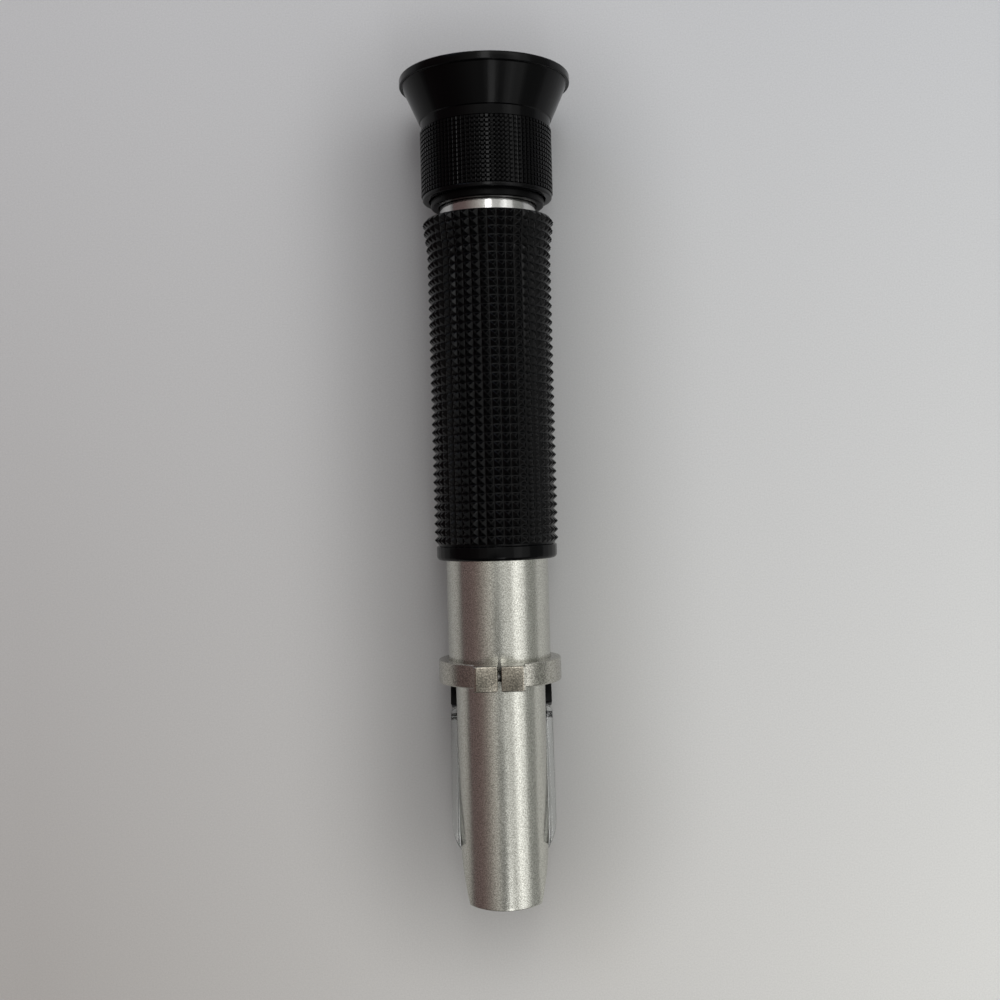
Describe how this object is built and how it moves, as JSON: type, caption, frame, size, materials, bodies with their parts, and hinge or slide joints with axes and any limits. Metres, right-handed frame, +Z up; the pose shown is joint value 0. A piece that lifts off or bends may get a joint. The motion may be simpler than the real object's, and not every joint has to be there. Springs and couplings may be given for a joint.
{
  "type": "handheld refractometer",
  "caption": "Handheld salinity refractometer: prism head under a hinged clear daylight plate, metal barrel, studded rubber grip and turning rubber eyecup.",
  "frame": {"origin": "centre of the length and width, on the surface that the instrument lies on with its prism face down", "axes": "+Y along the optical axis from the prism tip to the eyepiece, +Z up, away from the prism face, +X across"},
  "size_m": [0.0334, 0.161, 0.0334],
  "materials": {
    "satin_aluminium": "fine bead-blasted, satin",
    "black_rubber": "moulded, slightly glossy",
    "black_plastic": "moulded, satin",
    "clear_plastic": "clear moulded plastic, polished",
    "optical_glass": "polished and coated",
    "bright_steel": "turned",
    "bimetal": "rolled",
    "grey_seal": "matt"
  },
  "bodies": {
    "body": {"prism_head": "satin_aluminium", "measuring_prism": "optical_glass", "prism_seal": "grey_seal", "barrel": "satin_aluminium", "clamp_ring": "satin_aluminium", "clamp_screw": "bright_steel", "hinge_pin": "bright_steel", "calibration_bush": "satin_aluminium", "strip_screw": "bright_steel", "aperture_stop": "black_plastic", "grip": "black_rubber", "eyepiece_neck": "satin_aluminium", "reticle": "optical_glass", "reticle_retainer": "black_plastic"},
    "daylight_cover": {"daylight_plate": "clear_plastic", "hinge_yoke": "black_plastic", "plate_pin_left": "black_plastic", "plate_pin_right": "black_plastic"},
    "calibration_cap": {"calibration_cap": "black_rubber"},
    "calibration_screw": {"calibration_screw": "bright_steel"},
    "compensator": {"compensator_strip": "bimetal", "lens_cell": "black_plastic", "cell_screw": "bright_steel", "objective_lens": "optical_glass", "objective_retainer": "bright_steel"},
    "eyepiece_lenses": {"field_lens": "optical_glass", "eye_lens": "optical_glass", "lens_spacer": "black_plastic", "eye_lens_retainer": "black_plastic"},
    "eyecup": {"eyecup": "black_rubber", "focus_tube": "black_plastic"}
  },
  "joints": [
    {"name": "cover_hinge", "type": "hinge", "parent": "body", "child": "daylight_cover", "pos_m": [0, -0.03535, 0.00215], "axis": [1, 0, 0], "range_deg": [0, 110]},
    {"name": "cap_pull", "type": "slide", "parent": "body", "child": "calibration_cap", "axis": [0, 0, -1], "range_m": [0, 0.006]},
    {"name": "calibration_turn", "type": "hinge", "parent": "body", "child": "calibration_screw", "pos_m": [0, -0.0235, 0.005], "axis": [0, 0, 1], "range_deg": [-180, 180]},
    {"name": "compensator_shift", "type": "hinge", "parent": "body", "child": "compensator", "pos_m": [0, 0.0145, 0.0088], "axis": [1, 0, 0], "range_deg": [-0.377, 0.377]},
    {"name": "focus_travel", "type": "slide", "parent": "body", "child": "eyepiece_lenses", "axis": [0, 1, 0], "range_m": [-0.0015, 0.0035]},
    {"name": "focus_turn", "type": "hinge", "parent": "eyepiece_lenses", "child": "eyecup", "pos_m": [0, 0.06, 0.0167], "axis": [0, 1, 0], "range_deg": [-90, 210]}
  ],
  "couplings": [
    {"joint": "calibration_turn", "follows": "compensator_shift", "ratio": -477.4},
    {"joint": "focus_travel", "follows": "focus_turn", "m_per_rad": 0.00095493}
  ]
}
